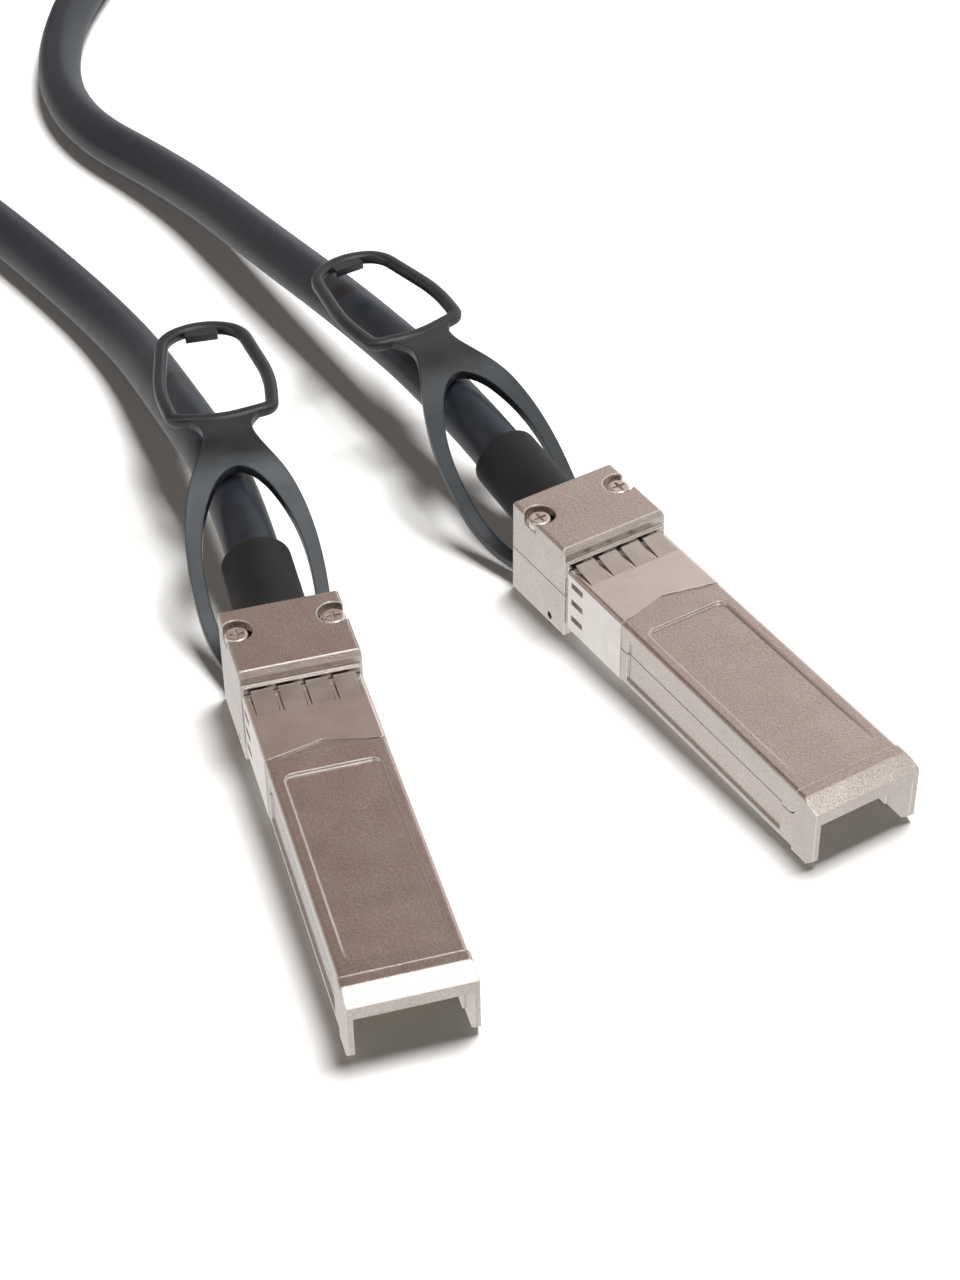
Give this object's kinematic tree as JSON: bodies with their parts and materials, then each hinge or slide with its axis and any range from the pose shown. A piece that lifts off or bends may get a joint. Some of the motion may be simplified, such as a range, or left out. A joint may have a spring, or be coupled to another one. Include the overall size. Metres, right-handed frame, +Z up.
{
  "type": "direct attach copper cable",
  "caption": "Shielded copper cable with a die-cast pluggable connector, latch and pull tab at each end, the spare length coiled and tied.",
  "frame": {"origin": "middle of plug A's mating end, on the floor that both plugs lie on", "axes": "+Y back along plug A, towards its cable; +X towards plug B; +Z up"},
  "size_m": [0.1156, 0.3345, 0.0177],
  "materials": {
    "nickel_casting": "satin nickel plating on a die casting",
    "nickel_sheet": "bright nickel plating on folded sheet",
    "nickel_screw": "nickel plated",
    "zinc_latch": "satin",
    "steel_pin": "ground",
    "spring_steel": "drawn wire",
    "black_nylon": "satin moulded nylon",
    "black_boot": "matt",
    "cable_jacket": "satin extruded jacket",
    "brass_ferrule": "plain",
    "core_foil": "foil-wrapped insulation",
    "card_laminate": "solder mask",
    "gold_plate": "gold plated",
    "chip_black": "moulded",
    "tie_fabric": "hook and loop"
  },
  "bodies": {
    "root": {"lower_shell_a": "nickel_casting", "cover_shell_a": "nickel_casting", "emi_collar_a": "nickel_sheet", "cover_screws_a": "nickel_screw", "latch_pin_a": "steel_pin", "return_springs_a": "spring_steel", "strain_boot_a": "black_boot", "jacket_end_a": "cable_jacket", "crimp_ferrule_a": "brass_ferrule", "wire_pairs_a": "core_foil", "paddle_card_a": "card_laminate", "contact_pads_a": "gold_plate", "card_parts_a": "chip_black", "lower_shell_b": "nickel_casting", "cover_shell_b": "nickel_casting", "emi_collar_b": "nickel_sheet", "cover_screws_b": "nickel_screw", "latch_pin_b": "steel_pin", "return_springs_b": "spring_steel", "strain_boot_b": "black_boot", "jacket_end_b": "cable_jacket", "crimp_ferrule_b": "brass_ferrule", "wire_pairs_b": "core_foil", "paddle_card_b": "card_laminate", "contact_pads_b": "gold_plate", "card_parts_b": "chip_black", "cable_run_a": "cable_jacket", "cable_run_b": "cable_jacket", "cable_coil": "cable_jacket", "coil_tie": "tie_fabric"},
    "tab_a": {"pull_tab_a": "black_nylon"},
    "latch_a": {"latch_rocker_a": "zinc_latch"},
    "tab_b": {"pull_tab_b": "black_nylon"},
    "latch_b": {"latch_rocker_b": "zinc_latch"}
  },
  "joints": [
    {"name": "tab_a_pull", "type": "slide", "parent": "root", "child": "tab_a", "axis": [0, 0.9996, 0.0291], "range_m": [0, 0.002], "stiffness_N_per_m": 600, "springref_m": -0.0008, "deforming": ["return_springs_a"]},
    {"name": "latch_a_tilt", "type": "hinge", "parent": "root", "child": "latch_a", "pos_m": [0, 0.05059, 0.00104], "axis": [-1, 0, 0], "range_deg": [0, 4.3]},
    {"name": "tab_b_pull", "type": "slide", "parent": "root", "child": "tab_b", "axis": [-0.2814, 0.9592, 0.0291], "range_m": [0, 0.002], "stiffness_N_per_m": 600, "springref_m": -0.0008, "deforming": ["return_springs_b"]},
    {"name": "latch_b_tilt", "type": "hinge", "parent": "root", "child": "latch_b", "pos_m": [0.03926, 0.06274, 0.00104], "axis": [-0.9596, -0.2815, 0], "range_deg": [0, 4.3]}
  ],
  "couplings": [
    {"joint": "latch_a_tilt", "follows": "tab_a_pull", "rad_per_m": 37.525},
    {"joint": "latch_b_tilt", "follows": "tab_b_pull", "rad_per_m": 37.525}
  ]
}
